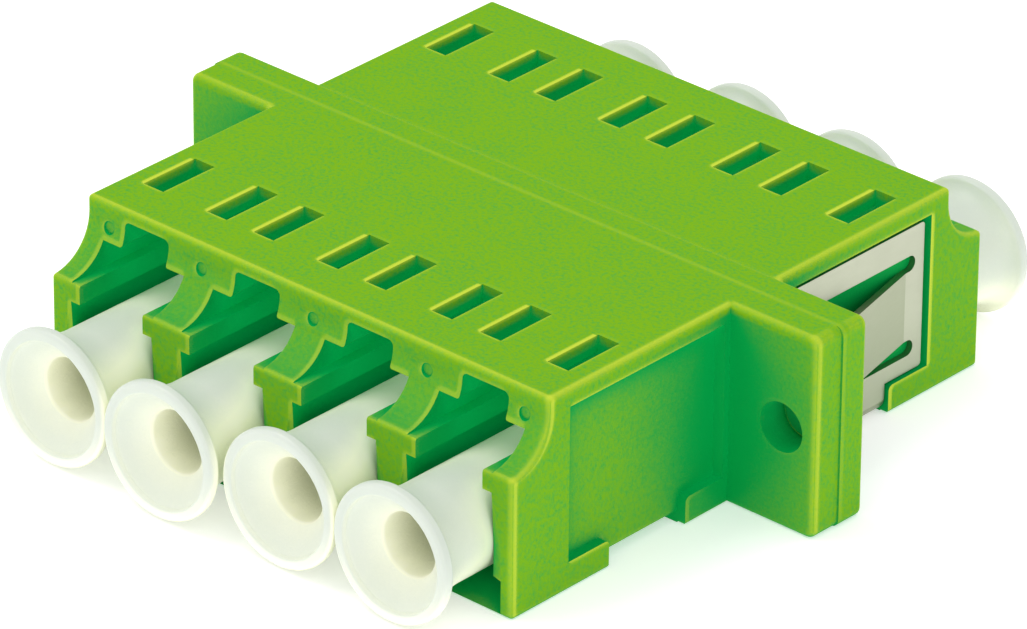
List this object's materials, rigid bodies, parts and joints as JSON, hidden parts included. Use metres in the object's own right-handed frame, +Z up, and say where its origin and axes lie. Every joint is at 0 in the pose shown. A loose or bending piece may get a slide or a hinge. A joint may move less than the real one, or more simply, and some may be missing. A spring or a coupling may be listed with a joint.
{
  "type": "lc fibre adapter",
  "caption": "Multi-port fibre-optic coupler block with a screw flange, side spring clip, latch windows on top and trumpet-shaped dust caps.",
  "frame": {"origin": "middle of the adapter on the plane of its underside, where the two housing halves meet", "axes": "+X along the row of ports, +Y towards the half that carries the clip, +Z up towards the latch windows"},
  "size_m": [0.035, 0.0366, 0.0092],
  "materials": {
    "housing_plastic": "fine grained moulding, yellowish green",
    "mount_plastic": "plain moulding, green",
    "sleeve_ceramic": "polished white zirconia",
    "clip_steel": "satin spring steel",
    "cap_plastic": "soft translucent natural polyethylene"
  },
  "bodies": {
    "adapter": {"front_housing": "housing_plastic", "rear_housing": "housing_plastic", "front_left_sleeve_mount": "mount_plastic", "front_right_sleeve_mount": "mount_plastic", "rear_left_sleeve_mount": "mount_plastic", "rear_right_sleeve_mount": "mount_plastic", "split_sleeve_1": "sleeve_ceramic", "split_sleeve_2": "sleeve_ceramic", "split_sleeve_3": "sleeve_ceramic", "split_sleeve_4": "sleeve_ceramic", "spring_clip": "clip_steel"},
    "front_cap_1": {"front_dust_cap_1": "cap_plastic"},
    "front_cap_2": {"front_dust_cap_2": "cap_plastic"},
    "front_cap_3": {"front_dust_cap_3": "cap_plastic"},
    "front_cap_4": {"front_dust_cap_4": "cap_plastic"},
    "rear_cap_1": {"rear_dust_cap_1": "cap_plastic"},
    "rear_cap_2": {"rear_dust_cap_2": "cap_plastic"},
    "rear_cap_3": {"rear_dust_cap_3": "cap_plastic"},
    "rear_cap_4": {"rear_dust_cap_4": "cap_plastic"}
  },
  "joints": [
    {"name": "pull_front_cap_1", "type": "slide", "parent": "adapter", "child": "front_cap_1", "axis": [0, -1, 0], "range_m": [0, 0.014]},
    {"name": "pull_front_cap_2", "type": "slide", "parent": "adapter", "child": "front_cap_2", "axis": [0, -1, 0], "range_m": [0, 0.014]},
    {"name": "pull_front_cap_3", "type": "slide", "parent": "adapter", "child": "front_cap_3", "axis": [0, -1, 0], "range_m": [0, 0.014]},
    {"name": "pull_front_cap_4", "type": "slide", "parent": "adapter", "child": "front_cap_4", "axis": [0, -1, 0], "range_m": [0, 0.014]},
    {"name": "pull_rear_cap_1", "type": "slide", "parent": "adapter", "child": "rear_cap_1", "axis": [0, 1, 0], "range_m": [0, 0.014]},
    {"name": "pull_rear_cap_2", "type": "slide", "parent": "adapter", "child": "rear_cap_2", "axis": [0, 1, 0], "range_m": [0, 0.014]},
    {"name": "pull_rear_cap_3", "type": "slide", "parent": "adapter", "child": "rear_cap_3", "axis": [0, 1, 0], "range_m": [0, 0.014]},
    {"name": "pull_rear_cap_4", "type": "slide", "parent": "adapter", "child": "rear_cap_4", "axis": [0, 1, 0], "range_m": [0, 0.014]}
  ]
}
